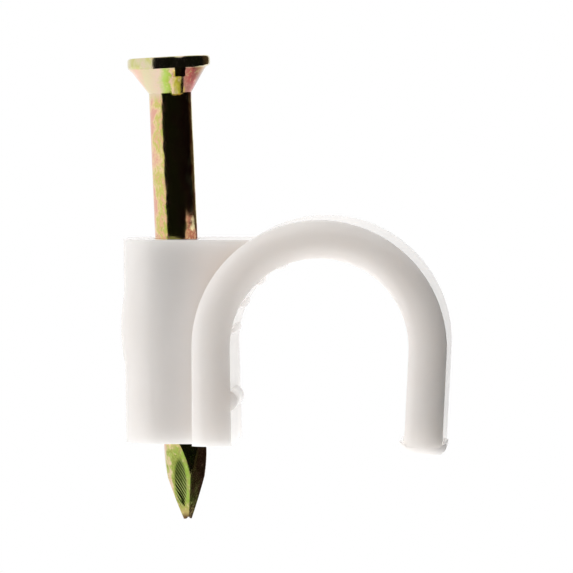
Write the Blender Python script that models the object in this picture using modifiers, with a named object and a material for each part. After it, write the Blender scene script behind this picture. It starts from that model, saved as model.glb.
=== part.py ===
"""Nail-in cable clip: a moulded hook for one round cable, fixed to a wall by a masonry nail.

Metres, +Z up and out of the wall. The wall is the plane Z = 0. The clip is seen from -Y, the fixed
leg of the hook stands on the origin, the cable channel lies to +X and runs along Y, and the block
that holds the nail lies to -X.
"""

import math

import bmesh
import bpy
from mathutils import Matrix, Vector

# Hook
CABLE_DIA = 0.0100  # round cable that the channel takes
STRAP_THICK = 0.00214
STRAP_DEPTH = 0.0076  # between the sharp edges of the crowned faces
CROWN_RISE = 0.0004  # how far each face of the strap is crowned
CHANNEL_HEIGHT = 0.00551  # centre of the cable above the wall
LEG_LEAN_DEG = 3.0  # the free leg leans in towards the cable
LEG_FLARE = 0.0001  # the fixed leg is this much thicker at the wall
FOOT_DROP = 0.00054  # the free foot reaches past the wall face, so that it is sprung tight

# Turned-out lip round the free foot
LIP_OUT = 0.00027
LIP_RISE = 0.00084
LIP_TIP = 0.00008
LIP_SEAT = 0.00035  # the leg ends this far above the bottom of the foot
LIP_ROUND = 0.0010

# Retaining pip on the inside of the fixed leg
PIP_HEIGHT = 0.00116
PIP_OUT = 0.00044
PIP_Z = 0.00252
PIP_LENGTH = 0.0051

# Grip ribs inside the hook, on the side of the fixed leg
RIB_COUNT = 4
RIB_FIRST_DEG = 170.0
RIB_LAST_DEG = 117.0
RIB_WIDTH = 0.0006
RIB_OUT = 0.00022
RIB_SETBACK = 0.0001  # from each edge of the strap

# Nail block
BLOCK_HEIGHT = 0.01148
BLOCK_END_WALL = 0.00203  # plastic beyond the nail, at the round end
BLOCK_SIDE_WALL = 0.0012  # plastic beside the nail
BLOCK_DRAFT_DEG = 0.6
BLOCK_EDGE = 0.0003
LEG_BITE = 0.00052  # how far the nail's side comes inside the line of the leg's outer face
SWELL_OUT = 0.00021
SWELL_HALF_HEIGHT = 0.0020
SWELL_HALF_TURN_DEG = 75.0
SWELL_Z = 0.00635
BLOCK_OVERLAP = 0.3  # how far the block runs in under the arch, as a share of the channel's radius

# Nail
NAIL_DIA = 0.0024
NAIL_LENGTH = 0.0261
NAIL_PROUD = 0.0044  # point past the wall face
NAIL_LEAN_DEG = 2.24
NAIL_CLEARANCE = 0.0001
HEAD_DIA = 0.0046
HEAD_RIM = 0.0005
HEAD_CONE = 0.00143
HEAD_EDGE = 0.00006
POINT_ANGLE_DEG = 17.5  # a corner of the point and a fin of the head face this far to +X of -Y
POINT_LENGTH = 0.0050
POINT_TIP_RADIUS = 0.00027
POINT_BULGE = 0.0001
SHOULDER_LENGTH = 0.0042  # the shaft starts to thin this far above the tip
SHOULDER_IN = 0.00072
FIN_WIDTH = 0.00062
FIN_LENGTH = 0.0012
FIN_OUT = 0.0004  # past the shaft, at the fin's lower end
FIN_TILT_DEG = 18.0
FIN_DROP = 0.00015  # the fin starts this far below the head's cone
FIN_TAB_LENGTH = 0.0005  # upright tab between the fin and the rim of the head
FIN_TAB_INSET = 0.0001
GRIP_DEPTH = 0.00012
GRIP_LENGTH = 0.0027
GRIP_WIDTH = 0.0008
GRIP_MIDDLE = 0.42  # how far up the point the marks sit, as a share of its length
TIP_NOTCH_RADIUS = 0.00012

# Facets
ARCH_STEPS = 48
ROUND_STEPS = 48
CROWN_STEPS = 8
SMALL_STEPS = 16
BLOCK_LEVELS = 24
WELD = 1e-7
SHARP_DEG = 30.0

# Worked out from the sizes above
STRAP_HALF = STRAP_THICK / 2
CHANNEL_RADIUS = CABLE_DIA / 2
PATH_RADIUS = CHANNEL_RADIUS + STRAP_HALF
LEAN = math.radians(LEG_LEAN_DEG)
NAIL_RADIUS = NAIL_DIA / 2
NAIL_LEAN = math.radians(NAIL_LEAN_DEG)
NAIL_X = -(STRAP_HALF + NAIL_RADIUS - LEG_BITE)
BLOCK_ROUND = NAIL_RADIUS + BLOCK_SIDE_WALL
BLOCK_END_X = NAIL_X - math.tan(NAIL_LEAN) * BLOCK_HEIGHT / 2 - NAIL_RADIUS - BLOCK_END_WALL
FULL_HALF_DEPTH = STRAP_DEPTH / 2 + CROWN_RISE


def clear_scene():
    for thing in list(bpy.data.objects):
        bpy.data.objects.remove(thing, do_unlink=True)


def new_collection(name):
    group = bpy.data.collections.new(name)
    bpy.context.scene.collection.children.link(group)
    return group


def make_material(name, color, roughness, metallic):
    material = bpy.data.materials.new(name)
    material.use_nodes = True
    shader = material.node_tree.nodes["Principled BSDF"]
    shader.inputs["Base Color"].default_value = (*color, 1.0)
    shader.inputs["Roughness"].default_value = roughness
    shader.inputs["Metallic"].default_value = metallic
    return material


def mesh_object(name, bm, group):
    bmesh.ops.remove_doubles(bm, verts=bm.verts, dist=WELD)
    bmesh.ops.recalc_face_normals(bm, faces=bm.faces)
    mesh = bpy.data.meshes.new(name)
    bm.to_mesh(mesh)
    bm.free()
    thing = bpy.data.objects.new(name, mesh)
    group.objects.link(thing)
    return thing


def as_cutter(thing):
    thing.hide_render = True
    thing.display_type = "WIRE"
    return thing


def outline_curve(name, points, group, depth=0.0, closed=True):
    """A flat POLY curve; with a depth it is filled and extruded by half of it each way."""
    data = bpy.data.curves.new(name, "CURVE")
    data.dimensions = "2D"
    data.fill_mode = "BOTH" if depth else "NONE"
    data.extrude = depth / 2
    spline = data.splines.new("POLY")
    spline.points.add(len(points) - 1)
    for point, (x, y) in zip(spline.points, points):
        point.co = (x, y, 0.0, 1.0)
    spline.use_cyclic_u = closed
    thing = bpy.data.objects.new(name, data)
    group.objects.link(thing)
    return thing


def curve_to_mesh(curve, group):
    """Replaces a curve object by a welded mesh object with its name and place."""
    name = curve.name
    bpy.context.view_layer.update()
    evaluated = curve.evaluated_get(bpy.context.evaluated_depsgraph_get())
    raw = bpy.data.meshes.new_from_object(evaluated)
    bm = bmesh.new()
    bm.from_mesh(raw)
    place = curve.matrix_world.copy()
    bpy.data.objects.remove(curve, do_unlink=True)
    thing = mesh_object(name, bm, group)
    thing.matrix_world = place
    return thing


def add_boolean(target, tool, operation):
    step = target.modifiers.new(tool.name, "BOOLEAN")
    step.operation = operation
    step.object = tool
    step.solver = "EXACT"


def add_bevel(target, width, segments):
    step = target.modifiers.new("edges", "BEVEL")
    step.width = width
    step.segments = segments
    step.limit_method = "ANGLE"
    step.angle_limit = math.radians(SHARP_DEG)


def arc(centre, radius, start, end, steps):
    """Points on an arc; angles in radians, both ends included."""
    return [
        (
            centre[0] + radius * math.cos(start + (end - start) * i / steps),
            centre[1] + radius * math.sin(start + (end - start) * i / steps),
        )
        for i in range(steps + 1)
    ]


# The hook is drawn in a plane where x is world X and y is world Z
FRONT_VIEW = Matrix.Rotation(math.pi / 2, 4, "X")


def crowned_section(half_thick, half_depth, rise):
    """Section of the strap: straight sides, and a shallow arc at each end."""
    radius = (half_thick**2 + rise**2) / (2 * rise)
    reach = math.asin(half_thick / radius)
    offset = half_depth + rise - radius
    top = arc((0.0, offset), radius, math.pi / 2 - reach, math.pi / 2 + reach, CROWN_STEPS)
    bottom = [(-x, -y) for x, y in top]
    return top + bottom


def strap_path():
    """Middle line of the hook, from the wall up the fixed leg, over the cable and down the free leg."""
    centre = (PATH_RADIUS, CHANNEL_HEIGHT)
    points = [(0.0, 0.0)]
    points += arc(centre, PATH_RADIUS, math.pi, -LEAN, ARCH_STEPS)
    arch_end = points[-1]
    drop = arch_end[1] + FOOT_DROP - LIP_SEAT
    points.append((arch_end[0] - drop * math.tan(LEAN), LIP_SEAT - FOOT_DROP))
    return points


def foot_x():
    """Middle of the free foot, at the bottom of the lip."""
    end_x, end_z = strap_path()[-1]
    return end_x - (end_z + FOOT_DROP) * math.tan(LEAN)


def make_strap(cutters, group):
    section = outline_curve(
        "strap_section", crowned_section(STRAP_HALF, STRAP_DEPTH / 2, CROWN_RISE), cutters
    )
    path = outline_curve("clip_body", strap_path(), group, closed=False)
    path.data.bevel_mode = "OBJECT"
    path.data.bevel_object = section
    path.data.use_fill_caps = True
    path.matrix_world = FRONT_VIEW
    strap = curve_to_mesh(path, group)
    bpy.data.objects.remove(section, do_unlink=True)
    for vertex in strap.data.vertices:
        x, z, _ = vertex.co
        if abs(z) < WELD and 0 < x < CHANNEL_RADIUS:
            vertex.co.x += LEG_FLARE
    return strap


def make_channel_core(cutters):
    """Fills the hook out to the middle of the strap; it trims the block where the strap covers it."""
    outline = [(0.0, -CABLE_DIA)]
    outline += arc((PATH_RADIUS, CHANNEL_HEIGHT), PATH_RADIUS, math.pi, 0.0, ARCH_STEPS)
    outline.append((2 * PATH_RADIUS, -CABLE_DIA))
    core = outline_curve("channel_core", outline, cutters, depth=4 * FULL_HALF_DEPTH)
    core.matrix_world = FRONT_VIEW
    return as_cutter(curve_to_mesh(core, cutters))


def swell(x, y, z, round_x):
    """How far the round end of the block bulges at a point of its surface."""
    rise = (z - SWELL_Z) / SWELL_HALF_HEIGHT
    turn = math.atan2(y, round_x - x) / math.radians(SWELL_HALF_TURN_DEG)
    if abs(rise) >= 1 or abs(turn) >= 1:
        return 0.0
    return SWELL_OUT * (1 - rise**2) * math.cos(math.pi / 2 * turn) ** 2


def make_block(cutters):
    """Nail block: a U in plan, slightly tapered to the wall, with a shallow swelling and rounded rims."""
    round_x = BLOCK_END_X + BLOCK_ROUND
    outline = arc((round_x, 0.0), BLOCK_ROUND, math.pi / 2, 3 * math.pi / 2, ROUND_STEPS // 2)
    inner_x = STRAP_HALF + CHANNEL_RADIUS * BLOCK_OVERLAP
    outline += [(inner_x, -BLOCK_ROUND), (inner_x, BLOCK_ROUND)]
    curve = outline_curve("nail_block", outline, cutters, depth=BLOCK_HEIGHT)
    curve.location.z = BLOCK_HEIGHT / 2
    block = curve_to_mesh(curve, cutters)
    bm = bmesh.new()
    bm.from_mesh(block.data)
    upright = [e for e in bm.edges if abs(e.verts[0].co.z - e.verts[1].co.z) > BLOCK_HEIGHT / 2]
    bmesh.ops.subdivide_edges(bm, edges=upright, cuts=BLOCK_LEVELS - 1, use_grid_fill=True)
    slope = math.tan(math.radians(BLOCK_DRAFT_DEG))
    for vertex in bm.verts:
        x, y, z = vertex.co
        push = swell(x, y, z + BLOCK_HEIGHT / 2, round_x) - slope * (BLOCK_HEIGHT / 2 - z)
        vertex.co += push * Vector((min(x - round_x, 0.0), y, 0.0)).normalized()
    bm.to_mesh(block.data)
    bm.free()
    add_bevel(block, BLOCK_EDGE, 3)
    add_boolean(block, make_channel_core(cutters), "DIFFERENCE")
    return as_cutter(block)


def add_rod(bm, radius, start_y, end_y, x, z, steps):
    """A round rod along Y."""
    turn = Matrix.Rotation(math.pi / 2, 4, "X")
    place = Matrix.Translation((x, (start_y + end_y) / 2, z)) @ turn
    bmesh.ops.create_cone(
        bm, cap_ends=True, segments=steps, radius1=radius, radius2=radius, depth=end_y - start_y, matrix=place
    )


def cap_radius(chord, rise):
    """Radius of the circle that shows a given chord and rise."""
    return ((chord / 2) ** 2 + rise**2) / (2 * rise)


def make_pip(cutters):
    """Half-round pip across the fixed leg that keeps the cable in."""
    radius = cap_radius(PIP_HEIGHT, PIP_OUT)
    front = -STRAP_DEPTH / 2
    bm = bmesh.new()
    add_rod(bm, radius, front, front + PIP_LENGTH, STRAP_HALF + PIP_OUT - radius, PIP_Z, ROUND_STEPS // 2)
    return as_cutter(mesh_object("retaining_pip", bm, cutters))


def make_ribs(cutters):
    """Grip ribs along the cable, evenly spaced inside the hook, which run out gently at both ends."""
    radius = cap_radius(RIB_WIDTH, RIB_OUT)
    distance = CHANNEL_RADIUS - RIB_OUT + radius
    stretch = (STRAP_DEPTH / 2 - RIB_SETBACK) / radius
    bm = bmesh.new()
    for i in range(RIB_COUNT):
        share = i / max(RIB_COUNT - 1, 1)
        angle = math.radians(RIB_FIRST_DEG + (RIB_LAST_DEG - RIB_FIRST_DEG) * share)
        x = PATH_RADIUS + distance * math.cos(angle)
        z = CHANNEL_HEIGHT + distance * math.sin(angle)
        bmesh.ops.create_uvsphere(
            bm,
            u_segments=SMALL_STEPS,
            v_segments=SMALL_STEPS,
            radius=radius,
            matrix=Matrix.Translation((x, 0.0, z)) @ Matrix.Diagonal((1.0, stretch, 1.0, 1.0)),
        )
    return as_cutter(mesh_object("grip_ribs", bm, cutters))


def make_foot_lip(cutters):
    """Lip round the free foot: the strap's section, enlarged, with a rounded bottom and raised rims."""
    reach = STRAP_HALF + LIP_OUT
    corner = min(LIP_ROUND, reach)
    quarter = arc((0.0, 0.0), 1.0, math.pi, 3 * math.pi / 2, CROWN_STEPS)
    left = [(corner - reach + corner * x, LIP_RISE * (1 + y)) for x, y in quarter]
    right = [(-x, z) for x, z in reversed(left)]
    seat = (STRAP_HALF - LIP_TIP, LIP_SEAT + LIP_TIP)
    outline = left + right
    outline += [(reach - LIP_TIP, LIP_RISE), seat, (-seat[0], seat[1]), (LIP_TIP - reach, LIP_RISE)]
    pan = outline_curve("foot_lip", outline, cutters, depth=4 * FULL_HALF_DEPTH)
    pan.matrix_world = Matrix.Translation((foot_x(), 0.0, -FOOT_DROP)) @ FRONT_VIEW
    pan = curve_to_mesh(pan, cutters)
    plan = crowned_section(reach, STRAP_DEPTH / 2 + LIP_OUT, CROWN_RISE)
    plate = outline_curve("foot_plan", plan, cutters, depth=4 * LIP_RISE)
    plate.location = (foot_x(), 0.0, -FOOT_DROP)
    add_boolean(pan, as_cutter(curve_to_mesh(plate, cutters)), "INTERSECT")
    return as_cutter(pan)


def nail_place():
    """Where the nail's axis meets the wall, with Z along the nail."""
    return Matrix.Translation((NAIL_X, 0.0, 0.0)) @ Matrix.Rotation(-NAIL_LEAN, 4, "Y")


def make_bore(cutters):
    """Hole for the nail, right through the block along the leaning nail."""
    bm = bmesh.new()
    radius = NAIL_RADIUS + NAIL_CLEARANCE
    bmesh.ops.create_cone(
        bm, cap_ends=True, segments=ROUND_STEPS, radius1=radius, radius2=radius, depth=4 * BLOCK_HEIGHT
    )
    bore = mesh_object("nail_bore", bm, cutters)
    bore.matrix_world = nail_place()
    return as_cutter(bore)


def make_clip_body(cutters, group):
    body = make_strap(cutters, group)
    for make in (make_block, make_pip, make_ribs, make_foot_lip):
        add_boolean(body, make(cutters), "UNION")
    add_boolean(body, make_bore(cutters), "DIFFERENCE")
    return body


def turned(name, profile, steps, group):
    """A solid of revolution about Z; the profile runs from the top down its outer side."""
    mesh = bpy.data.meshes.new(name)
    edges = [(i, i + 1) for i in range(len(profile) - 1)]
    mesh.from_pydata([(x, 0.0, z) for x, z in profile], edges, [])
    thing = bpy.data.objects.new(name, mesh)
    group.objects.link(thing)
    screw = thing.modifiers.new("turn", "SCREW")
    screw.steps = steps
    screw.render_steps = steps
    screw.use_merge_vertices = True
    screw.merge_threshold = WELD
    screw.use_normal_calculate = True
    return thing


def make_point_die(cutters):
    """Four-sided die that leaves the point: square across, its faces slightly bulged."""
    tip = -NAIL_PROUD
    reach = HEAD_DIA
    profile = [(0.0, NAIL_LENGTH), (reach, NAIL_LENGTH)]
    end_radius = NAIL_RADIUS * math.sqrt(2) + POINT_BULGE
    profile.append((reach, tip + POINT_LENGTH + (reach - end_radius)))
    for i in range(ROUND_STEPS // 4 + 1):
        share = 1 - i / (ROUND_STEPS // 4)
        bulge = 4 * POINT_BULGE * share * (1 - share)
        radius = POINT_TIP_RADIUS + (end_radius - POINT_TIP_RADIUS) * share + bulge
        profile.append((radius, tip + POINT_LENGTH * share))
    profile.append((0.0, tip))
    die = turned("point_die", profile, 4, cutters)
    turn = Matrix.Rotation(math.radians(POINT_ANGLE_DEG) - math.pi / 2, 4, "Z")
    die.matrix_world = nail_place() @ turn
    return as_cutter(die)


def add_upright(bm, radius, length, place):
    """A small round bar that stands on its place, along its local Z."""
    bmesh.ops.create_cone(
        bm,
        cap_ends=True,
        segments=SMALL_STEPS,
        radius1=radius,
        radius2=radius,
        depth=length,
        matrix=place @ Matrix.Translation((0.0, 0.0, length / 2)),
    )


def both_sides(name, cutters, length, seat):
    """Two such bars on opposite sides of the nail, on the parting line of its forging dies."""
    bm = bmesh.new()
    for side in (0.0, math.pi):
        facing = Matrix.Rotation(math.radians(POINT_ANGLE_DEG) - math.pi / 2 + side, 4, "Z")
        add_upright(bm, FIN_WIDTH / 2, length, facing @ seat)
    pair = mesh_object(name, bm, cutters)
    pair.matrix_world = nail_place()
    return as_cutter(pair)


def make_fins(cutters):
    """Small fins that slant up the cone of the head."""
    cone_bottom = NAIL_LENGTH - NAIL_PROUD - HEAD_RIM - HEAD_CONE
    lower_end = (NAIL_RADIUS + FIN_OUT - FIN_WIDTH / 2, 0.0, cone_bottom - FIN_DROP)
    tilt = Matrix.Rotation(math.radians(FIN_TILT_DEG), 4, "Y")
    return both_sides("head_fins", cutters, FIN_LENGTH + FIN_DROP, Matrix.Translation(lower_end) @ tilt)


def make_fin_tabs(cutters):
    """Small upright tabs above the fins, under the rim of the head."""
    rim_bottom = NAIL_LENGTH - NAIL_PROUD - HEAD_RIM
    lower_end = (HEAD_DIA / 2 - FIN_TAB_INSET - FIN_WIDTH / 2, 0.0, rim_bottom - FIN_TAB_LENGTH)
    return both_sides("fin_tabs", cutters, FIN_TAB_LENGTH + HEAD_RIM / 2, Matrix.Translation(lower_end))


def make_gripper_marks(cutters):
    """Shallow pressed oval on two opposite faces of the point, left by the feed grips."""
    bm = bmesh.new()
    face_slope = math.atan((NAIL_RADIUS - POINT_TIP_RADIUS / math.sqrt(2)) / POINT_LENGTH)
    middle = POINT_LENGTH * GRIP_MIDDLE
    face_distance = POINT_TIP_RADIUS / math.sqrt(2) + math.tan(face_slope) * middle
    for side in (0.0, math.pi):
        facing = Matrix.Rotation(math.radians(POINT_ANGLE_DEG) + math.pi / 4 + side, 4, "Z")
        place = Matrix.Translation((face_distance + POINT_BULGE, 0.0, middle - NAIL_PROUD))
        tilt = Matrix.Rotation(face_slope, 4, "Y")
        size = Matrix.Diagonal((GRIP_DEPTH + POINT_BULGE, GRIP_WIDTH / 2, GRIP_LENGTH / 2, 1.0))
        bmesh.ops.create_uvsphere(
            bm,
            u_segments=SMALL_STEPS,
            v_segments=SMALL_STEPS,
            radius=1.0,
            matrix=facing @ place @ tilt @ size,
        )
    marks = mesh_object("gripper_marks", bm, cutters)
    marks.matrix_world = nail_place()
    return as_cutter(marks)


def make_tip_notch(cutters):
    """Small notch across the blunt tip, where the point was pinched off its neighbour."""
    bm = bmesh.new()
    add_rod(bm, TIP_NOTCH_RADIUS, -NAIL_RADIUS, NAIL_RADIUS, 0.0, -NAIL_PROUD, SMALL_STEPS)
    notch = mesh_object("tip_notch", bm, cutters)
    notch.matrix_world = nail_place()
    return as_cutter(notch)


def make_nail(cutters, group):
    """The nail: turned, thinning gently towards its point, then pressed to a four-sided point."""
    top = NAIL_LENGTH - NAIL_PROUD
    head_radius = HEAD_DIA / 2
    profile = [
        (0.0, top),
        (head_radius - HEAD_EDGE, top),
        (head_radius, top - HEAD_EDGE),
        (head_radius, top - HEAD_RIM),
        (NAIL_RADIUS, top - HEAD_RIM - HEAD_CONE),
    ]
    for i in range(CROWN_STEPS + 1):
        share = i / CROWN_STEPS
        profile.append((NAIL_RADIUS - SHOULDER_IN * share**2, SHOULDER_LENGTH * (1 - share) - NAIL_PROUD))
    profile += [(NAIL_RADIUS - SHOULDER_IN, -2 * NAIL_PROUD), (0.0, -2 * NAIL_PROUD)]
    nail = turned("masonry_nail", profile, ROUND_STEPS, group)
    nail.matrix_world = nail_place()
    add_boolean(nail, make_point_die(cutters), "INTERSECT")
    add_boolean(nail, make_fins(cutters), "UNION")
    add_boolean(nail, make_fin_tabs(cutters), "UNION")
    add_boolean(nail, make_gripper_marks(cutters), "DIFFERENCE")
    add_boolean(nail, make_tip_notch(cutters), "DIFFERENCE")
    return nail


def finish(thing, material):
    """Gives a piece its material, and smooth shading with its real edges kept sharp."""
    thing.data.materials.append(material)
    thing.data.shade_smooth()
    thing.data.set_sharp_from_angle(angle=math.radians(SHARP_DEG))


def main():
    clear_scene()
    group = new_collection("cable_clip")
    cutters = new_collection("cutters")
    white = make_material("white_plastic", (0.86, 0.85, 0.83), 0.45, 0.0)
    zinc = make_material("yellow_zinc", (0.72, 0.62, 0.32), 0.30, 1.0)
    finish(make_clip_body(cutters, group), white)
    finish(make_nail(cutters, group), zinc)


main()
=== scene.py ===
"""Looks of the nail-in cable clip: a white moulded hook and block, and a yellow zinc masonry nail.

Metres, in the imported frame: Z = 0 is the wall face, the fixed leg stands on the origin, the cable
channel lies to +X along Y, and the photograph looks along +Y from a little to the right and above.
"""

import math

import bmesh
import bpy
from mathutils import Matrix, Vector


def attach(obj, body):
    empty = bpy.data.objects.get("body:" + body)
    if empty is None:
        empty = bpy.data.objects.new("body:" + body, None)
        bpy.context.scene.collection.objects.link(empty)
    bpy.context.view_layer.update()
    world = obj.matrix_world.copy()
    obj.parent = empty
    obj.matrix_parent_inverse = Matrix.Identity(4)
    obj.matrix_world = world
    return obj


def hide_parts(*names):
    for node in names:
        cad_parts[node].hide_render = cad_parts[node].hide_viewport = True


MM = 0.001

# Hook: as in the solids, apart from the foot, whose lip fades out towards the back
CHANNEL_RADIUS = 5.0 * MM
STRAP_HALF = 1.07 * MM
STRAP_HALF_DEPTH = 3.8 * MM
CROWN_RISE = 0.4 * MM
LEG_FLARE = 0.1 * MM
LEG_FLARE_TAPER = 1 / 3
CHANNEL_HEIGHT = 5.51 * MM
LEG_LEAN = math.radians(3.0)
STRAP_EDGE = 0.07 * MM
FOOT_DROP = 0.47 * MM
LIP_OUT = 0.27 * MM
LIP_RISE = 0.70 * MM
LIP_TIP = 0.08 * MM
LIP_SEAT = 0.35 * MM
LIP_ROUND = 0.6 * MM
LIP_FADE = (2.5 * MM, -1.0 * MM)
PIP_HEIGHT = 1.16 * MM
PIP_OUT = 0.44 * MM
PIP_Z = 2.52 * MM
PIP_LENGTH = 5.1 * MM
PIP_EDGE = 0.06 * MM
RIB_COUNT = 4
RIB_FIRST = math.radians(170.0)
RIB_LAST = math.radians(117.0)
RIB_WIDTH = 0.6 * MM
RIB_OUT = 0.22 * MM
RIB_SETBACK = 0.1 * MM
RIB_STEPS = 48

# Block
BLOCK_HEIGHT = 11.48 * MM
BLOCK_ROUND = 2.4 * MM
BLOCK_END_X = -5.2 * MM
BLOCK_REACH = 3.5 * MM
BLOCK_DRAFT = math.radians(0.6)
BLOCK_EDGE = 0.3 * MM
SWELL_OUT = 0.21 * MM
SWELL_HALF_HEIGHT = 2.0 * MM
SWELL_Z = 6.35 * MM
SWELL_HALF_TURN = math.radians(75.0)
BLOCK_LEVELS = 48
BLOCK_EDGE_STEPS = 5

# Nail: as in the solids, apart from the worn, slightly oval and tilted head
NAIL_X = -1.75 * MM
NAIL_RADIUS = 1.2 * MM
NAIL_LENGTH = 26.17 * MM
NAIL_PROUD = 4.4 * MM
NAIL_LEAN = math.radians(2.24)
NAIL_CLEARANCE = 0.1 * MM
HEAD_RADIUS = 2.3 * MM
HEAD_RIM = 0.645 * MM
HEAD_CONE = 1.41 * MM
HEAD_EDGE = 0.19 * MM
HEAD_WEAR = 0.15
HEAD_WEAR_POWER = 8
HEAD_TOP_RINGS = (0.85, 0.6, 0.3, 0.1)
HEAD_ROUND = 0.22 * MM
HEAD_UNDERCUT = (0.17 * MM, 0.08 * MM)
HEAD_UNDERCUT_POWER = 6
HEAD_TILT = (0.013, -0.016)
HEAD_TILT_RISE = 0.1 * MM
HEAD_OVAL = 0.012
HEAD_OVAL_TURN = 0.7
RIM_OVAL = 0.022
RIM_OVAL_TURN = 0.45
RIM_BOTTOM = NAIL_LENGTH - HEAD_RIM
CONE_FOOT = RIM_BOTTOM - HEAD_CONE
POINT_ANGLE = math.radians(17.5)
POINT_LENGTH = 5.0 * MM
POINT_TIP = 0.23 * MM
POINT_SHIFT = 0.04 * MM
POINT_BULGE = 0.1 * MM
SHOULDER_LENGTH = 4.2 * MM
SHOULDER_IN = 0.72 * MM
TIP_NOTCH = 0.12 * MM
TIP_HOLLOW = 0.1 * MM
FIN_HALF = 0.31 * MM
FIN_OUT = 0.4 * MM
FIN_LENGTH = 1.2 * MM
FIN_TILT = math.radians(18.0)
FIN_ANGLE = math.radians(20.5)
FIN_DROP = 0.15 * MM
FIN_FOOT_SHARE = 0.3
FIN_SKEW = 0.36
FIN_POWER = 3.5
FIN_TAB_LENGTH = 0.5 * MM
FIN_TAB_INSET = -0.03 * MM
FIN_TAB_POWER = 6
GRIP_DEPTH = 0.09 * MM
GRIP_HALF_LENGTH = 1.5 * MM
GRIP_HALF_WIDTH = 0.42 * MM
GRIP_MIDDLE = 0.425
GRIP_SHIFT = 0.08 * MM
GRIP_EDGE = 0.35
GRIP_TIP_SHARE = 0.35
GRIP_TAPER = 0.6 * POINT_LENGTH
HATCH_PITCH = 0.27 * MM
HATCH_SLOPE = 1.8
HATCH_DEPTH = 0.02 * MM

# Steps and tolerances of the meshes
ARCH_STEPS = 120
CROWN_STEPS = 20
ROUND_STEPS = 96
NAIL_STEPS = 192
EDGE_STEPS = 3
HEAD_EDGE_STEPS = 5
RING_GAP = 0.01 * MM
CONE_FOOT_BAND = 0.05 * MM
CIRCLE_STEPS = 128
WELD = 1e-7
SHARP = math.radians(30.0)
FRONT_VIEW = Matrix.Rotation(math.pi / 2, 4, "X")
PATH_RADIUS = CHANNEL_RADIUS + STRAP_HALF

# White plastic: noises (scale, detail, roughness), tints and the depth that light reaches
CLOUD_NOISE = (260.0, 3.0)
GRAIN_NOISE = (9000.0, 4.0, 0.6)
PLASTIC_TINTS = [(0.3, (0.876, 0.811, 0.768)), (0.7, (0.896, 0.837, 0.796))]
PLASTIC_SHINE = (0.10, 0.18)
PLASTIC_BUMP = (0.12, 0.01 * MM)
PLASTIC_IOR = 1.49
GLOW_WEIGHT = 0.8
GLOW_RADIUS = (1.0, 0.97, 0.94)
GLOW_DEPTH = 3.0 * MM

# Yellow zinc: colours of the film, on shaft, cone and point from left to right
SHAFT_FILM = [
    (0.00, (0.78, 0.42, 0.32)),
    (0.10, (0.86, 0.62, 0.36)),
    (0.22, (0.60, 0.58, 0.15)),
    (0.32, (0.82, 0.48, 0.30)),
    (0.42, (0.52, 0.54, 0.12)),
    (0.60, (0.60, 0.50, 0.16)),
    (0.78, (0.66, 0.36, 0.20)),
    (0.87, (0.46, 0.15, 0.10)),
    (0.93, (0.56, 0.32, 0.18)),
    (0.99, (0.96, 0.86, 0.50)),
]
CONE_FILM = [
    (0.00, (0.84, 0.62, 0.46)),
    (0.14, (0.86, 0.56, 0.44)),
    (0.24, (0.74, 0.66, 0.42)),
    (0.40, (0.78, 0.60, 0.47)),
    (0.47, (0.46, 0.60, 0.14)),
    (0.53, (0.40, 0.52, 0.08)),
    (0.55, (0.80, 0.54, 0.38)),
    (0.575, (0.76, 0.60, 0.24)),
    (0.60, (0.62, 0.56, 0.06)),
    (0.64, (0.46, 0.38, 0.05)),
    (0.675, (0.62, 0.48, 0.12)),
    (0.70, (0.47, 0.25, 0.19)),
    (0.79, (0.51, 0.12, 0.11)),
    (0.85, (0.34, 0.11, 0.08)),
    (0.90, (0.36, 0.17, 0.06)),
    (0.96, (0.66, 0.42, 0.16)),
]
POINT_FILM = [
    (0.02, (0.76, 0.58, 0.42)),
    (0.10, (0.60, 0.53, 0.24)),
    (0.17, (0.42, 0.51, 0.13)),
    (0.24, (0.26, 0.30, 0.06)),
    (0.30, (0.40, 0.44, 0.10)),
    (0.38, (0.27, 0.40, 0.06)),
    (0.50, (0.33, 0.47, 0.08)),
    (0.62, (0.38, 0.38, 0.11)),
    (0.80, (0.20, 0.10, 0.05)),
    (1.00, (0.30, 0.15, 0.10)),
]
RIM_FILM = [(0.38, (0.76, 0.62, 0.46)), (0.50, (0.70, 0.65, 0.38)), (0.62, (0.62, 0.60, 0.24))]
SPECK_FILM = [(0.36, (0.90, 0.46, 0.40)), (0.50, (0.80, 0.66, 0.38)), (0.64, (0.46, 0.62, 0.14))]
# Colours of the point's last millimetre, darker towards its end
DARKENING_TIP = [(0.7, (0.60, 0.41, 0.18)), (0.95, (0.16, 0.09, 0.04))]
FILM_NOISE = (1300.0, 4.0, 0.7)
FILM_WANDER = 2.6 * MM
FILM_STRETCH = (1.0, 1.0, 0.6)
CONE_WANDER = 0.35
STREAK_NOISE = (4200.0, 3.0, 0.6)
STREAK_WANDER = 1.6 * MM
STREAK_STRETCH = (1.0, 1.0, 0.18)
SPECK_NOISE = (3600.0, 3.0, 0.7)
SPOT_NOISE = (5200.0, 2.0)
SPOT_RANGE = (0.56, 0.70)
SPOT_SHARE = 0.5
CONE_FADE = 0.5 * MM
POINT_FADE = (0.3 * MM, -0.6 * MM)
TIP_FADE = (1.1 * MM, 0.1 * MM)
RIM_FADE = 0.05 * MM
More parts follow.
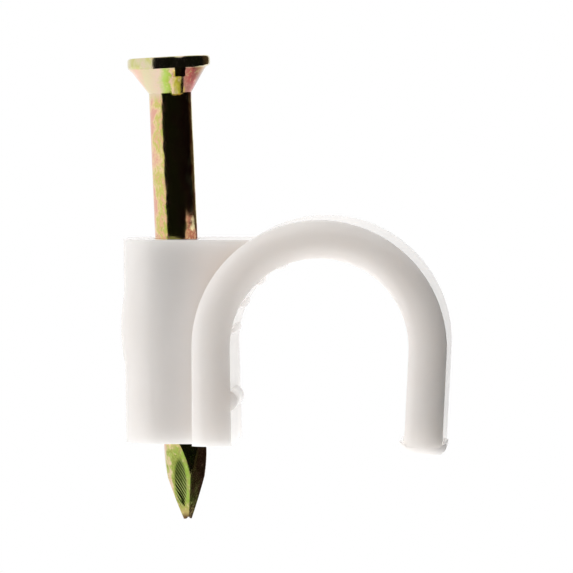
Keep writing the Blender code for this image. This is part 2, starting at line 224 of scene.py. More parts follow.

# Yellow zinc: gripper mark and its painted shade, shine and bumps
OVAL_Z = POINT_LENGTH * GRIP_MIDDLE - NAIL_PROUD
OVAL_X = -0.30 * MM
OVAL_HALF_WIDTH = 0.38 * MM
OVAL_EDGE = 0.22
# Painted shade: the pressed oval is coloured near black, with slanting bright lines over it
GRIP_PAINTED_SHADE = (0.055, 0.08, 0.012, 1.0)
PRESSED_BRIGHT = (0.50, 0.58, 0.18, 1.0)
LINE_SCALE = 2400.0
LINE_BEND = 1.4
LINE_DETAIL = 2.0
LINE_RANGE = (0.55, 1.0)
LINE_FADE = (1.8 * MM, -1.2 * MM)
SHINE_NOISE = (2500.0, 4.0)
ZINC_SHINE = (0.06, 0.20)
DENT_NOISE = (900.0, 1.0)
DENT_BUMP = (0.6, 0.1 * MM)
DENT_FADE = (0.0, 1.0 * MM)
SCRATCH_NOISE = (1800.0, 5.0, 0.6)
SCRATCH_BUMP = (0.5, 0.02 * MM)

# Camera, from the photograph: pixels of its 573 px frame
FRAME_PX = 573.0
DEPTH_VANISH_PX = (664.0, -19.0)
HOOK_CENTRE_PX = (319.0, 348.0)
PX_PER_METRE = 17920.0
CAMERA_DISTANCE = 0.3306
SENSOR_MM = 36.0
CLIP_RANGE = (0.01, 10.0)

# Studio
FLOOR_Z = -0.075
FLOOR_RADIUS = 0.4
FLOOR_GLOW = 0.25
FLOOR_COLOR = (0.9, 0.9, 0.9, 1.0)
FLOOR_ROUGHNESS = 0.9
WHITE = (1.0, 1.0, 1.0, 1.0)
CARD_RADIUS = 0.2
CARD_LOW = -0.118
CARD_LOW_RIGHT = -0.035
CARD_RISE = (math.radians(118.0), math.radians(138.0))
CARD_HIGH = 0.13
CARD_LEFT = math.radians(-45.5)
CARD_RIGHT = math.radians(158.0)
CARD_GREY = 0.01
CARD_BROWN = (0.15, 0.105, 0.055)
CARD_WARM = (0.08, 0.18)
CARD_STEPS = 48
FLAG_RADIUS = 0.065
FLAG_PLACE = (0.09, -0.02, -0.06)
LAMPS = [  # name, place, target, width, watts
    ("left_softbox", (-0.13, -0.03, 0.09), (0.0, 0.0, 0.005), 0.10, 0.044),
    ("low_softbox", (-0.02, -0.06, -0.05), (-0.003, 0.0, 0.003), 0.05, 0.0225),
    ("channel_softbox", (0.009, 0.0, -0.013), (0.0, 0.0, 0.006), 0.008, 0.0026),
]


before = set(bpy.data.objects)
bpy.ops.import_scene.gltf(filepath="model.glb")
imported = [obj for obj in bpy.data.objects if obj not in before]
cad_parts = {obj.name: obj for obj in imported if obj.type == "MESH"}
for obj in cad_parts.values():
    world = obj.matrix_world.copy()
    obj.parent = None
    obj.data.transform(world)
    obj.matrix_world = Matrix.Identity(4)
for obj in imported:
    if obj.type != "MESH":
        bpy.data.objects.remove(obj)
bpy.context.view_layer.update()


# Tools


def link(thing):
    bpy.context.scene.collection.objects.link(thing)
    return thing


def mesh_object(name, bm):
    """A linked object from a bmesh, welded and with its faces turned outward."""
    bmesh.ops.remove_doubles(bm, verts=bm.verts, dist=WELD)
    bmesh.ops.recalc_face_normals(bm, faces=bm.faces)
    mesh = bpy.data.meshes.new(name)
    bm.to_mesh(mesh)
    bm.free()
    return link(bpy.data.objects.new(name, mesh))


def outline_curve(name, points, depth=0.0, closed=True):
    """A flat POLY curve; with a depth it is filled and extruded by half of it each way."""
    data = bpy.data.curves.new(name, "CURVE")
    data.dimensions = "2D"
    data.fill_mode = "BOTH" if depth else "NONE"
    data.extrude = depth / 2
    spline = data.splines.new("POLY")
    spline.points.add(len(points) - 1)
    for point, (x, y) in zip(spline.points, points):
        point.co = (x, y, 0.0, 1.0)
    spline.use_cyclic_u = closed
    return link(bpy.data.objects.new(name, data))


def baked(thing):
    """Replaces an object by the mesh that its modifiers or its curve make."""
    name = thing.name
    bpy.context.view_layer.update()
    evaluated = thing.evaluated_get(bpy.context.evaluated_depsgraph_get())
    raw = bpy.data.meshes.new_from_object(evaluated)
    bm = bmesh.new()
    bm.from_mesh(raw)
    place = thing.matrix_world.copy()
    bpy.data.objects.remove(thing, do_unlink=True)
    made = mesh_object(name, bm)
    made.matrix_world = place
    return made


def add_boolean(target, tool, operation):
    step = target.modifiers.new(tool.name, "BOOLEAN")
    step.operation = operation
    step.object = tool
    step.solver = "EXACT"


def add_bevel(target, width, segments):
    step = target.modifiers.new("edges", "BEVEL")
    step.width = width
    step.segments = segments
    step.limit_method = "ANGLE"
    step.angle_limit = SHARP


def arc(centre, radius, start, end, steps):
    return [
        (
            centre[0] + radius * math.cos(start + (end - start) * i / steps),
            centre[1] + radius * math.sin(start + (end - start) * i / steps),
        )
        for i in range(steps + 1)
    ]


def smoothstep(low, high, value):
    t = min(max((value - low) / (high - low), 0.0), 1.0)
    return t * t * (3 - 2 * t)


# Clip body


def crowned_section(half_thick, half_depth, rise):
    """The strap's section: straight sides, with a crown of the given rise at front and back."""
    radius = (half_thick**2 + rise**2) / (2 * rise)
    reach = math.asin(half_thick / radius)
    offset = half_depth + rise - radius
    top = arc((0.0, offset), radius, math.pi / 2 - reach, math.pi / 2 + reach, CROWN_STEPS)
    return top + [(-x, -y) for x, y in top]


def strap_path():
    """The middle of the strap: up the fixed leg, over the arch and down the leaning free leg."""
    points = [(0.0, 0.0)]
    points += arc((PATH_RADIUS, CHANNEL_HEIGHT), PATH_RADIUS, math.pi, -LEG_LEAN, ARCH_STEPS)
    end_x, end_z = points[-1]
    drop = end_z + FOOT_DROP - LIP_SEAT
    points.append((end_x - drop * math.tan(LEG_LEAN), LIP_SEAT - FOOT_DROP))
    return points


def make_strap():
    """The section swept along the path, with the fixed leg's foot flared towards the channel."""
    section = outline_curve("strap_section", crowned_section(STRAP_HALF, STRAP_HALF_DEPTH, CROWN_RISE))
    path = outline_curve("clip_moulding", strap_path(), closed=False)
    path.data.bevel_mode = "OBJECT"
    path.data.bevel_object = section
    path.data.use_fill_caps = True
    path.matrix_world = FRONT_VIEW
    strap = baked(path)
    bpy.data.objects.remove(section, do_unlink=True)
    for vertex in strap.data.vertices:
        x, z, depth = vertex.co
        if abs(z) < WELD and 0 < x < CHANNEL_RADIUS:
            vertex.co.x += LEG_FLARE * (1 - LEG_FLARE_TAPER * depth / STRAP_HALF_DEPTH)
    add_bevel(strap, STRAP_EDGE, EDGE_STEPS)
    return baked(strap)


def swell(x, y, z, round_x):
    """How far the round end of the block bulges at a point of its surface."""
    rise = (z - SWELL_Z) / SWELL_HALF_HEIGHT
    turn = math.atan2(y, round_x - x) / SWELL_HALF_TURN
    if abs(rise) >= 1 or abs(turn) >= 1:
        return 0.0
    return SWELL_OUT * (1 - rise**2) * math.cos(math.pi / 2 * turn) ** 2


def make_block():
    """The drafted nail block with its swelling, cut back to the round of the hook."""
    round_x = BLOCK_END_X + BLOCK_ROUND
    outline = arc((round_x, 0.0), BLOCK_ROUND, math.pi / 2, 3 * math.pi / 2, ROUND_STEPS // 2)
    inner_x = PATH_RADIUS - BLOCK_REACH
    outline += [(inner_x, -BLOCK_ROUND), (inner_x, BLOCK_ROUND)]
    curve = outline_curve("nail_block", outline, depth=BLOCK_HEIGHT)
    curve.location.z = BLOCK_HEIGHT / 2
    block = baked(curve)
    bm = bmesh.new()
    bm.from_mesh(block.data)
    upright = [e for e in bm.edges if abs(e.verts[0].co.z - e.verts[1].co.z) > BLOCK_HEIGHT / 2]
    bmesh.ops.subdivide_edges(bm, edges=upright, cuts=BLOCK_LEVELS - 1, use_grid_fill=True)
    for vertex in bm.verts:
        x, y, z = vertex.co
        inset = math.tan(BLOCK_DRAFT) * (BLOCK_HEIGHT / 2 - z)
        inset -= swell(x, y, z + BLOCK_HEIGHT / 2, round_x)
        outward = Vector((min(x - round_x, 0.0), y, 0.0)).normalized()
        vertex.co -= outward * inset
    bm.to_mesh(block.data)
    bm.free()
    add_bevel(block, BLOCK_EDGE, BLOCK_EDGE_STEPS)
    core_outline = [(0.0, -CHANNEL_RADIUS)]
    core_outline += arc((PATH_RADIUS, CHANNEL_HEIGHT), PATH_RADIUS, math.pi, 0.0, ARCH_STEPS)
    core_outline.append((2 * PATH_RADIUS, -CHANNEL_RADIUS))
    curve = outline_curve("channel_core", core_outline, depth=4 * STRAP_HALF_DEPTH)
    curve.matrix_world = FRONT_VIEW
    core = baked(curve)
    add_boolean(block, core, "DIFFERENCE")
    block = baked(block)
    bpy.data.objects.remove(core, do_unlink=True)
    return block


def cap_radius(chord, rise):
    """Radius of the circle whose cap has this chord and rise."""
    return ((chord / 2) ** 2 + rise**2) / (2 * rise)


def make_rod(name, radius, start_y, end_y, x, z, edge):
    """A round rod along Y with rounded ends."""
    bm = bmesh.new()
    place = Matrix.Translation((x, (start_y + end_y) / 2, z)) @ Matrix.Rotation(math.pi / 2, 4, "X")
    bmesh.ops.create_cone(
        bm,
        cap_ends=True,
        segments=ROUND_STEPS // 2,
        radius1=radius,
        radius2=radius,
        depth=end_y - start_y,
        matrix=place,
    )
    rod = mesh_object(name, bm)
    add_bevel(rod, edge, EDGE_STEPS)
    return baked(rod)


def make_pip():
    radius = cap_radius(PIP_HEIGHT, PIP_OUT)
    x = STRAP_HALF + PIP_OUT - radius
    front = -STRAP_HALF_DEPTH
    return make_rod("retaining_pip", radius, front, front + PIP_LENGTH, x, PIP_Z, PIP_EDGE)


def make_ribs():
    """Grip ribs along the cable, which run out gently at both ends."""
    radius = cap_radius(RIB_WIDTH, RIB_OUT)
    distance = CHANNEL_RADIUS - RIB_OUT + radius
    half = STRAP_HALF_DEPTH - RIB_SETBACK
    ribs = []
    for i in range(RIB_COUNT):
        angle = RIB_FIRST + (RIB_LAST - RIB_FIRST) * i / (RIB_COUNT - 1)
        bm = bmesh.new()
        bmesh.ops.create_uvsphere(bm, u_segments=RIB_STEPS, v_segments=RIB_STEPS, radius=radius)
        bmesh.ops.scale(bm, verts=bm.verts, vec=(1.0, half / radius, 1.0))
        rib = mesh_object(f"grip_rib_{i}", bm)
        x = PATH_RADIUS + distance * math.cos(angle)
        z = CHANNEL_HEIGHT + distance * math.sin(angle)
        rib.location = (x, 0.0, z)
        ribs.append(rib)
    return ribs


def make_foot_lip():
    """The turned-out lip of the free foot, which fades out towards the back."""
    end_x, end_z = strap_path()[-1]
    foot_x = end_x - (end_z + FOOT_DROP) * math.tan(LEG_LEAN)
    reach = STRAP_HALF + LIP_OUT
    quarter = arc((0.0, 0.0), 1.0, math.pi, 3 * math.pi / 2, CROWN_STEPS)
    left = [(LIP_ROUND - reach + LIP_ROUND * x, LIP_RISE * (1 + y)) for x, y in quarter]
    right = [(-x, z) for x, z in reversed(left)]
    top = [
        (reach - LIP_TIP, LIP_RISE),
        (STRAP_HALF, LIP_RISE - LIP_TIP),
        (STRAP_HALF - 2 * LIP_TIP, LIP_SEAT + LIP_TIP),
    ]
    outline = left + right + top + [(-x, z) for x, z in reversed(top)]
    curve = outline_curve("foot_lip", outline, depth=4 * STRAP_HALF_DEPTH)
    turn = Matrix.Rotation(LEG_LEAN, 4, "Y")
    curve.matrix_world = Matrix.Translation((foot_x, 0.0, -FOOT_DROP)) @ turn @ FRONT_VIEW
    pan = baked(curve)
    front = crowned_section(reach, STRAP_HALF_DEPTH, CROWN_RISE)[CROWN_STEPS + 1 :]
    side = []
    for i in range(CROWN_STEPS + 1):
        y = STRAP_HALF_DEPTH * (2 * i / CROWN_STEPS - 1)
        out = (LIP_OUT + LIP_TIP) * smoothstep(LIP_FADE[0], LIP_FADE[1], y)
        side.append((STRAP_HALF - LIP_TIP + out, y))
    plan = front + side[1:] + [(-x, y) for x, y in reversed(side[1:])]
    curve = outline_curve("foot_plan", plan, depth=4 * LIP_RISE)
    curve.location = (foot_x, 0.0, -FOOT_DROP)
    plate = baked(curve)
    add_boolean(pan, plate, "INTERSECT")
    pan = baked(pan)
    bpy.data.objects.remove(plate, do_unlink=True)
    return pan


def nail_place():
    """Where the nail's axis meets the wall face, and how it leans."""
    return Matrix.Translation((NAIL_X, 0.0, 0.0)) @ Matrix.Rotation(-NAIL_LEAN, 4, "Y")


def make_bore():
    bm = bmesh.new()
    radius = NAIL_RADIUS + NAIL_CLEARANCE
    bmesh.ops.create_cone(
        bm, cap_ends=True, segments=ROUND_STEPS, radius1=radius, radius2=radius, depth=4 * BLOCK_HEIGHT
    )
    bore = mesh_object("nail_bore", bm)
    bore.matrix_world = nail_place()
    return bore


def make_clip():
    """The whole moulding as one mesh, with the bore cut through it."""
    clip = make_strap()
    joined = [make_block(), make_pip(), *make_ribs(), make_foot_lip()]
    for piece in joined:
        add_boolean(clip, piece, "UNION")
    bore = make_bore()
    add_boolean(clip, bore, "DIFFERENCE")
    clip = baked(clip)
    for piece in (*joined, bore):
        bpy.data.objects.remove(piece, do_unlink=True)
    clip.data.shade_smooth()
    clip.data.set_sharp_from_angle(angle=SHARP)
    weighted = clip.modifiers.new("weighted", "WEIGHTED_NORMAL")
    weighted.keep_sharp = True
    return baked(clip)


# Nail, as rings of points round its axis


def shaft_radius(height):
    """The round shaft, which thins gently towards the point."""
    share = max(1 - height / SHOULDER_LENGTH, 0.0)
    return NAIL_RADIUS - SHOULDER_IN * share**2


def point_radius(angle, height):
    """Radius of the four-sided point at a height above the tip; beyond it, the round shaft."""
    share = height / POINT_LENGTH
    end = NAIL_RADIUS * math.sqrt(2) + POINT_BULGE
    corner = POINT_TIP + (end - POINT_TIP) * share + 4 * POINT_BULGE * share * (1 - share)
    turn = (angle - POINT_ANGLE + math.pi / 2) % (math.pi / 2) - math.pi / 4
    flat = corner / math.sqrt(2)
    return min(shaft_radius(height), flat / math.cos(turn))


def grip_recess(angle, height):
    """Depth of the pressed oval and of its slanting hatch, on two opposite faces of the point."""
    turn = (angle - POINT_ANGLE) % math.pi - math.pi / 4
    if abs(turn) >= math.pi / 4:
        return 0.0
    across = point_radius(angle, height) * math.sin(turn) - GRIP_SHIFT
    along = height - POINT_LENGTH * GRIP_MIDDLE
    width = GRIP_HALF_WIDTH * min(1.0, GRIP_TIP_SHARE + height / GRIP_TAPER)
    inside = 1 - (across / width) ** 2 - (along / GRIP_HALF_LENGTH) ** 2
    if inside <= 0:
        return 0.0
    edge = smoothstep(0.0, GRIP_EDGE, inside)
    hatch = 0.5 + 0.5 * math.cos(2 * math.pi * (along + HATCH_SLOPE * across) / HATCH_PITCH)
    return edge * (GRIP_DEPTH * inside + HATCH_DEPTH * hatch)


def bar_radius(turn, centre, half, power):
    """Radius at an upright bar of a given half width; 0 beside it."""
    off = centre * math.sin(turn)
    if abs(off) >= half:
        return 0.0
    return centre * math.cos(turn) + half * (1 - (abs(off) / half) ** power) ** (1 / power)


def fin_radius(angle, height):
    """Radius at the two slanting fins under the head and at the upright tabs above them."""
    turn = (angle - FIN_ANGLE) % math.pi - math.pi / 2
    up = height - CONE_FOOT
    radius = 0.0
    if -FIN_DROP <= up <= FIN_LENGTH:
        centre = NAIL_RADIUS + FIN_OUT - FIN_HALF + up * math.tan(FIN_TILT)
        half = FIN_HALF * math.sqrt(min((up + FIN_DROP) / FIN_DROP + FIN_FOOT_SHARE, 1.0))
        radius = bar_radius(turn, centre, half, FIN_POWER)
        if radius > 0:
            radius += FIN_SKEW * centre * math.sin(turn)
    if RIM_BOTTOM - FIN_TAB_LENGTH <= height <= NAIL_LENGTH - HEAD_EDGE:
        centre = HEAD_RADIUS - FIN_TAB_INSET - FIN_HALF
        radius = max(radius, bar_radius(turn, centre, FIN_HALF, FIN_TAB_POWER))
    return radius


def nail_levels():
    """Heights of the rings above the tip, each with the share of the radius that its ring has."""
    tab_foot = RIM_BOTTOM - FIN_TAB_LENGTH
    spans = [  # from, to, rings
        (0.0, POINT_LENGTH, 130),
        (POINT_LENGTH, CONE_FOOT - FIN_DROP, 36),
        (CONE_FOOT - FIN_DROP - RING_GAP, CONE_FOOT + CONE_FOOT_BAND, 24),
        (CONE_FOOT + CONE_FOOT_BAND, tab_foot, 24),
        (tab_foot - RING_GAP, RIM_BOTTOM, 20),
        (RIM_BOTTOM, NAIL_LENGTH - HEAD_EDGE, 10),
    ]
    levels = []
    for low, high, count in spans:
        levels += [(low + (high - low) * i / count, 1.0) for i in range(count)]
    for i in range(1, HEAD_EDGE_STEPS + 1):
        bend = math.pi / 2 * i / HEAD_EDGE_STEPS
        inset = HEAD_EDGE * (1 - math.cos(bend))
        levels.append((NAIL_LENGTH - HEAD_EDGE * (1 - math.sin(bend)), 1 - inset / HEAD_RADIUS))
    return levels + [(NAIL_LENGTH, share) for share in HEAD_TOP_RINGS]


def nail_radius(angle, height):
    """Radius of the nail; the rim stands out over the cone at its left and right ends."""
    if height < POINT_LENGTH:
        return point_radius(angle, height) - grip_recess(angle, height)
    radius = NAIL_RADIUS
    undercut = HEAD_UNDERCUT[0] + HEAD_UNDERCUT[1] * math.cos(angle)
    undercut *= math.cos(angle) ** HEAD_UNDERCUT_POWER
    if height > CONE_FOOT:
        top = HEAD_RADIUS - undercut
        radius += (top - NAIL_RADIUS) * min((height - CONE_FOOT) / HEAD_CONE, 1.0)
    if height > RIM_BOTTOM:
        left = max(1 - (height - RIM_BOTTOM) / HEAD_ROUND, 0.0)
        radius += undercut * math.sqrt(1 - left**2)
    return max(radius, fin_radius(angle, height))


def nail_point(angle, level, share):
    """One point of a ring, with the head's worn edge, oval and tilt and the tip's notch."""
    height = level
    if level > NAIL_LENGTH - HEAD_EDGE and share > HEAD_TOP_RINGS[0]:
        wear = HEAD_WEAR + (1 - HEAD_WEAR) * math.cos(angle) ** HEAD_WEAR_POWER
        height = NAIL_LENGTH - (NAIL_LENGTH - level) * wear
        share = 1 - (1 - share) * wear
    radius = share * nail_radius(angle, level)
    place = Vector((math.cos(angle) * radius, math.sin(angle) * radius, height - NAIL_PROUD))
    place.x -= POINT_SHIFT * max(1 - height / POINT_LENGTH, 0.0)
    if height < TIP_NOTCH and abs(place.x) < TIP_NOTCH:
        place.z += math.sqrt(TIP_NOTCH**2 - place.x**2) * (1 - height / TIP_NOTCH)
    if height > CONE_FOOT:
        on_rim = smoothstep(RIM_BOTTOM, RIM_BOTTOM + HEAD_ROUND, height)
        oval_turn = HEAD_OVAL_TURN - RIM_OVAL_TURN * on_rim
        place.x *= 1 + (HEAD_OVAL + RIM_OVAL * on_rim) * math.sin(2 * angle + oval_turn)
        place.y *= 1 + HEAD_OVAL * math.sin(3 * angle)
    if height > RIM_BOTTOM - HEAD_TILT_RISE:
        place.z += HEAD_TILT[0] * place.x + HEAD_TILT[1] * (place.y + radius)
    return place


def make_nail():
    """The nail as one closed skin over its rings, from the hollow tip to the head's top."""
    bm = bmesh.new()
    angles = [2 * math.pi * i / NAIL_STEPS for i in range(NAIL_STEPS)]
    rings = []
    for level, share in nail_levels():
        rings.append([bm.verts.new(nail_point(angle, level, share)) for angle in angles])
    for lower, upper in zip(rings, rings[1:]):
        for i in range(NAIL_STEPS):
            j = (i + 1) % NAIL_STEPS
            bm.faces.new((lower[i], lower[j], upper[j], upper[i]))
    for ring, height in ((rings[0], TIP_HOLLOW), (rings[-1], NAIL_LENGTH)):
        middle = bm.verts.new((0.0, 0.0, height - NAIL_PROUD))
        for i in range(NAIL_STEPS):
            bm.faces.new((ring[i], ring[(i + 1) % NAIL_STEPS], middle))
    nail = mesh_object("zinc_nail", bm)
    nail.matrix_world = nail_place()
    nail.data.shade_smooth()
    nail.data.set_sharp_from_angle(angle=SHARP)
    return nail


# Materials


def new_material(name):
    material = bpy.data.materials.new(name)
    material.use_nodes = True
    return material, material.node_tree, material.node_tree.nodes["Principled BSDF"]


def add_place(tree):
    """The object's own coordinates, whole and as separate axes."""
    place = tree.nodes.new("ShaderNodeTexCoord").outputs["Object"]
    axes = tree.nodes.new("ShaderNodeSeparateXYZ")
    tree.links.new(place, axes.inputs["Vector"])
    return place, axes.outputs


def add_mapping(tree, source, **settings):
    node = tree.nodes.new("ShaderNodeMapping")
    for name, value in settings.items():
        node.inputs[name].default_value = value
    tree.links.new(source, node.inputs["Vector"])
    return node.outputs["Vector"]


def add_noise(tree, source, scale, detail, roughness=0.5):
    node = tree.nodes.new("ShaderNodeTexNoise")
    node.inputs["Scale"].default_value = scale
    node.inputs["Detail"].default_value = detail
    node.inputs["Roughness"].default_value = roughness
    tree.links.new(source, node.inputs["Vector"])
    return node.outputs["Fac"]


def add_ramp(tree, source, stops):
    node = tree.nodes.new("ShaderNodeValToRGB")
    elements = node.color_ramp.elements
    while len(elements) < len(stops):
        elements.new(0.5)
    for element, (position, color) in zip(elements, stops):
        element.position = position
        element.color = (*color, 1.0)
    tree.links.new(source, node.inputs["Fac"])
    return node.outputs["Color"]


def add_color(tree, color):
    node = tree.nodes.new("ShaderNodeRGB")
    node.outputs[0].default_value = color
    return node.outputs[0]


def add_range(tree, source, low, high):
    """Low to high while the source goes from 0 to 1."""
    node = tree.nodes.new("ShaderNodeMapRange")
    node.inputs["To Min"].default_value = low
    node.inputs["To Max"].default_value = high
    tree.links.new(source, node.inputs["Value"])
    return node.outputs["Result"]


def add_share(tree, source, low, high):
    """0 to 1 while the source goes from low to high."""
    node = tree.nodes.new("ShaderNodeMapRange")
    node.inputs["From Min"].default_value = low
    node.inputs["From Max"].default_value = high
    tree.links.new(source, node.inputs["Value"])
    return node.outputs["Result"]


def add_math(tree, operation, first, second):
    node = tree.nodes.new("ShaderNodeMath")
    node.operation = operation
    for socket, value in zip(node.inputs, (first, second)):
        if isinstance(value, float):
            socket.default_value = value
        else:
            tree.links.new(value, socket)
    return node.outputs[0]


def add_mix(tree, share, first, second):
    """The first colour, going over to the second as the share goes from 0 to 1."""
    node = tree.nodes.new("ShaderNodeMix")
    node.data_type = "RGBA"
    for socket, value in ((node.inputs["Factor"], share), (node.inputs[6], first), (node.inputs[7], second)):
        tree.links.new(value, socket)
    return node.outputs[2]


def add_bump(tree, source, strength, distance):
    node = tree.nodes.new("ShaderNodeBump")
    node.inputs["Strength"].default_value = strength
    node.inputs["Distance"].default_value = distance
    tree.links.new(source, node.inputs["Height"])
    return node


def plastic_material():
    """White plastic that lets light in a few millimetres, with a faint cloud and a fine grain."""
    material, tree, shader = new_material("white_moulding")
    place = tree.nodes.new("ShaderNodeTexCoord").outputs["Object"]
    cloud = add_noise(tree, place, *CLOUD_NOISE)
    tree.links.new(add_ramp(tree, cloud, PLASTIC_TINTS), shader.inputs["Base Color"])
    tree.links.new(add_range(tree, cloud, *PLASTIC_SHINE), shader.inputs["Roughness"])
    bump = add_bump(tree, add_noise(tree, place, *GRAIN_NOISE), *PLASTIC_BUMP)
    tree.links.new(bump.outputs["Normal"], shader.inputs["Normal"])
    shader.inputs["IOR"].default_value = PLASTIC_IOR
    shader.inputs["Subsurface Weight"].default_value = GLOW_WEIGHT
    shader.inputs["Subsurface Radius"].default_value = GLOW_RADIUS
    shader.inputs["Subsurface Scale"].default_value = GLOW_DEPTH
    return material


def add_wander(tree, source, reach):
    """A noise of 0 to 1 made into a shift of half the reach to either side."""
    return add_math(tree, "MULTIPLY", add_math(tree, "SUBTRACT", source, 0.5), reach)


def film_color(tree, place, axes):
    """Bands of colour across the shaft, head and point, a tip that darkens towards its end, and small spots
    over them.
    """
    height = axes["Z"]
    film = add_noise(tree, add_mapping(tree, place, Scale=FILM_STRETCH), *FILM_NOISE)
    wander = add_wander(tree, film, FILM_WANDER)
    across = add_math(tree, "ADD", axes["X"], wander)
    color = add_ramp(tree, add_share(tree, across, -NAIL_RADIUS, NAIL_RADIUS), SHAFT_FILM)
    cone_across = add_math(tree, "ADD", axes["X"], add_math(tree, "MULTIPLY", wander, CONE_WANDER))
    cone = add_ramp(tree, add_share(tree, cone_across, -HEAD_RADIUS, HEAD_RADIUS), CONE_FILM)
    cone_foot = CONE_FOOT - NAIL_PROUD
    color = add_mix(tree, add_share(tree, height, cone_foot - CONE_FADE, cone_foot), color, cone)
    drawn = add_mapping(tree, place, Scale=STREAK_STRETCH)
    streak = add_wander(tree, add_noise(tree, drawn, *STREAK_NOISE), STREAK_WANDER)
    point_across = add_math(tree, "ADD", across, streak)
    point = add_ramp(tree, add_share(tree, point_across, -NAIL_RADIUS, NAIL_RADIUS), POINT_FILM)
    color = add_mix(tree, add_share(tree, height, *POINT_FADE), color, point)
    on_tip = add_share(tree, height, *(level - NAIL_PROUD for level in TIP_FADE))
    color = add_mix(tree, on_tip, color, add_ramp(tree, on_tip, DARKENING_TIP))
    rim_bottom = RIM_BOTTOM - NAIL_PROUD
    on_rim = add_share(tree, height, rim_bottom - RIM_FADE, rim_bottom + RIM_FADE)
    color = add_mix(tree, on_rim, color, add_ramp(tree, film, RIM_FILM))
    specks = add_ramp(tree, add_noise(tree, place, *SPECK_NOISE), SPECK_FILM)
    spots = add_share(tree, add_noise(tree, place, *SPOT_NOISE), *SPOT_RANGE)
    return add_mix(tree, add_math(tree, "MULTIPLY", spots, SPOT_SHARE), color, specks)


def grip_mark(tree, place, height):
    """The share of the pressed oval on the point, and its colour: painted shade, near black, with slanting
    bright lines.
    """
    oval = add_mapping(
        tree,
        place,
        Location=(-OVAL_X / OVAL_HALF_WIDTH, 0.0, -OVAL_Z / GRIP_HALF_LENGTH),
        Scale=(1 / OVAL_HALF_WIDTH, 0.0, 1 / GRIP_HALF_LENGTH),
    )
    round_it = tree.nodes.new("ShaderNodeTexGradient")
    round_it.gradient_type = "SPHERICAL"
    tree.links.new(oval, round_it.inputs["Vector"])
    lines = tree.nodes.new("ShaderNodeTexWave")
    lines.inputs["Scale"].default_value = LINE_SCALE
    lines.inputs["Distortion"].default_value = LINE_BEND
    lines.inputs["Detail"].default_value = LINE_DETAIL
    lean = add_mapping(tree, place, Rotation=(0.0, math.atan(1 / HATCH_SLOPE), 0.0))
    tree.links.new(lean, lines.inputs["Vector"])
    on_line = add_share(tree, lines.outputs["Fac"], *LINE_RANGE)
    lower = add_share(tree, height, *(OVAL_Z + level for level in LINE_FADE))
    on_line = add_math(tree, "MULTIPLY", on_line, lower)
    # The oval's painted shade, crossed by the bright slanting lines
    hatched = add_mix(tree, on_line, add_color(tree, GRIP_PAINTED_SHADE), add_color(tree, PRESSED_BRIGHT))
    return add_share(tree, round_it.outputs["Fac"], 0.0, OVAL_EDGE), hatched


def zinc_material():
    """Bright zinc under a thin yellow film, whose colour wanders from pink and gold to green."""
    material, tree, shader = new_material("yellow_zinc")
    place, axes = add_place(tree)
    in_oval, hatched = grip_mark(tree, place, axes["Z"])
    # The oval's painted shade, with its bright lines, goes over the film's colour
    color = add_mix(tree, in_oval, film_color(tree, place, axes), hatched)
    tree.links.new(color, shader.inputs["Base Color"])
    shader.inputs["Metallic"].default_value = 1.0
    shine = add_range(tree, add_noise(tree, place, *SHINE_NOISE), *ZINC_SHINE)
    tree.links.new(shine, shader.inputs["Roughness"])
    above_wall = add_share(tree, axes["Z"], *DENT_FADE)
    waves = add_math(tree, "MULTIPLY", add_noise(tree, place, *DENT_NOISE), above_wall)
    dents = add_bump(tree, waves, *DENT_BUMP)
    scratches = add_bump(tree, add_noise(tree, place, *SCRATCH_NOISE), *SCRATCH_BUMP)
    tree.links.new(dents.outputs["Normal"], scratches.inputs["Normal"])
    tree.links.new(scratches.outputs["Normal"], shader.inputs["Normal"])
    return material


# Floor, light and camera


def shown_ray(tree):
    """1 for a ray that shows the white surround: seen directly, in metal or through glass."""
    path = tree.nodes.new("ShaderNodeLightPath").outputs
    shown = path["Is Camera Ray"]
    for kind in ("Is Glossy Ray", "Is Transmission Ray"):
        shown = add_math(tree, "MAXIMUM", shown, path[kind])
    return shown


def make_disc(name, radius):
    bm = bmesh.new()
    bmesh.ops.create_circle(bm, cap_ends=True, segments=CIRCLE_STEPS, radius=radius)
    return mesh_object(name, bm)


def make_floor():
    floor = make_disc("floor", FLOOR_RADIUS)
    floor.location.z = FLOOR_Z
    material, tree, shader = new_material("pale_floor")
    shader.inputs["Base Color"].default_value = FLOOR_COLOR
    shader.inputs["Roughness"].default_value = FLOOR_ROUGHNESS
    shader.inputs["Specular IOR Level"].default_value = 0.0
    shader.inputs["Emission Color"].default_value = WHITE
    glow = add_math(tree, "MULTIPLY", shown_ray(tree), FLOOR_GLOW)
    tree.links.new(glow, shader.inputs["Emission Strength"])
    floor.data.materials.append(material)


def felt_material():
    """Dark felt, which goes over to brown at the back."""
    material, tree, shader = new_material("dark_felt")
    back = add_share(tree, add_place(tree)[1]["Y"], *CARD_WARM)
    tint = add_ramp(tree, back, [(0.0, (CARD_GREY, CARD_GREY, CARD_GREY)), (1.0, CARD_BROWN)])
    tree.links.new(tint, shader.inputs["Base Color"])
    shader.inputs["Roughness"].default_value = 1.0
    shader.inputs["Specular IOR Level"].default_value = 0.0
    return material


def cover(thing, felt):
    """Dresses a card in felt and keeps it out of the picture, but not out of reflections."""
    thing.visible_camera = False
    thing.data.materials.append(felt)


def make_card(felt):
    """A dark curved card in front and to the right, which gives the nail its black reflection."""
    bm = bmesh.new()
    rings = []
    for i in range(CARD_STEPS + 1):
        turn = CARD_LEFT + (CARD_RIGHT - CARD_LEFT) * i / CARD_STEPS
        x, y = CARD_RADIUS * math.sin(turn), -CARD_RADIUS * math.cos(turn)
        low = CARD_LOW + (CARD_LOW_RIGHT - CARD_LOW) * smoothstep(CARD_RISE[0], CARD_RISE[1], turn)
        rings.append([bm.verts.new((x, y, z)) for z in (low, CARD_HIGH)])
    for (a, b), (c, d) in zip(rings, rings[1:]):
        bm.faces.new((a, c, d, b))
    card = mesh_object("dark_card", bm)
    cover(card, felt)


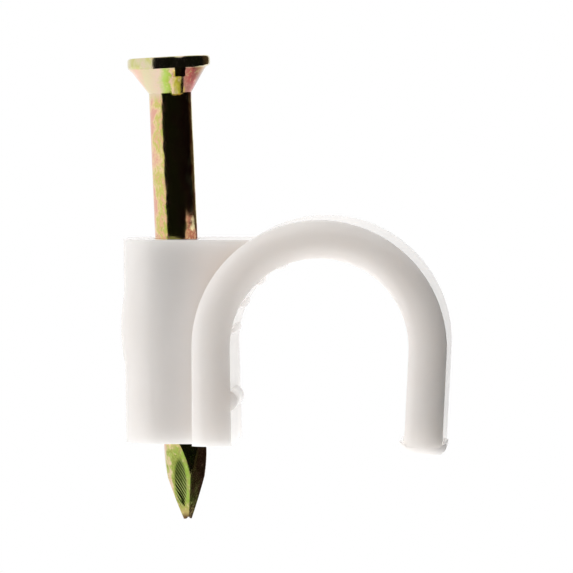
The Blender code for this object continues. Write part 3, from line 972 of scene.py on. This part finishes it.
def make_flag(felt):
    """A dark disc low on the right, which keeps the floor's light off the free leg."""
    flag = make_disc("dark_flag", FLAG_RADIUS)
    flag.location = FLAG_PLACE
    cover(flag, felt)


def make_world():
    """A plain white surround at strength 1."""
    world = bpy.data.worlds.new("white_tent")
    bpy.context.scene.world = world
    world.use_nodes = True
    world.node_tree.nodes["Background"].inputs["Color"].default_value = WHITE


def add_lamp(name, place, target, size, power):
    data = bpy.data.lights.new(name, "AREA")
    data.shape = "DISK"
    data.size = size
    data.energy = power
    lamp = link(bpy.data.objects.new(name, data))
    lamp.location = place
    lamp.visible_glossy = False
    lamp.visible_camera = False
    lamp.rotation_euler = (Vector(target) - Vector(place)).to_track_quat("-Z", "Y").to_euler()


def camera_ray(pixel, focal_px):
    """The direction of a pixel of the photograph, in the camera's own axes."""
    half = FRAME_PX / 2
    return Vector(((pixel[0] - half) / focal_px, (half - pixel[1]) / focal_px, -1.0))


def make_camera():
    """A long lens whose +Y vanishing point and hook centre fall where the photograph has them."""
    focal_px = PX_PER_METRE * CAMERA_DISTANCE
    depth = camera_ray(DEPTH_VANISH_PX, focal_px).normalized()
    up = Vector((0.0, 1.0, 0.0))
    rise = (up - depth * up.dot(depth)).normalized()
    turn = Matrix((depth.cross(rise), depth, rise))
    data = bpy.data.cameras.new("camera")
    data.sensor_width = SENSOR_MM
    data.lens = focal_px / FRAME_PX * SENSOR_MM
    data.clip_start, data.clip_end = CLIP_RANGE
    camera = link(bpy.data.objects.new("camera", data))
    seen = camera_ray(HOOK_CENTRE_PX, focal_px) * CAMERA_DISTANCE
    anchor = Vector((PATH_RADIUS, -STRAP_HALF_DEPTH, CHANNEL_HEIGHT))
    camera.matrix_world = Matrix.Translation(anchor - turn @ seen) @ turn.to_4x4()
    bpy.context.scene.camera = camera


make_camera()
clip = make_clip()
clip.data.materials.append(plastic_material())
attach(clip, "root")
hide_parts("clip_body")

nail = make_nail()
nail.data.materials.append(zinc_material())
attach(nail, "root")
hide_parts("masonry_nail")

make_floor()
felt = felt_material()
make_card(felt)
make_flag(felt)
make_world()
for lamp in LAMPS:
    add_lamp(*lamp)
bpy.context.scene.view_settings.view_transform = "Standard"
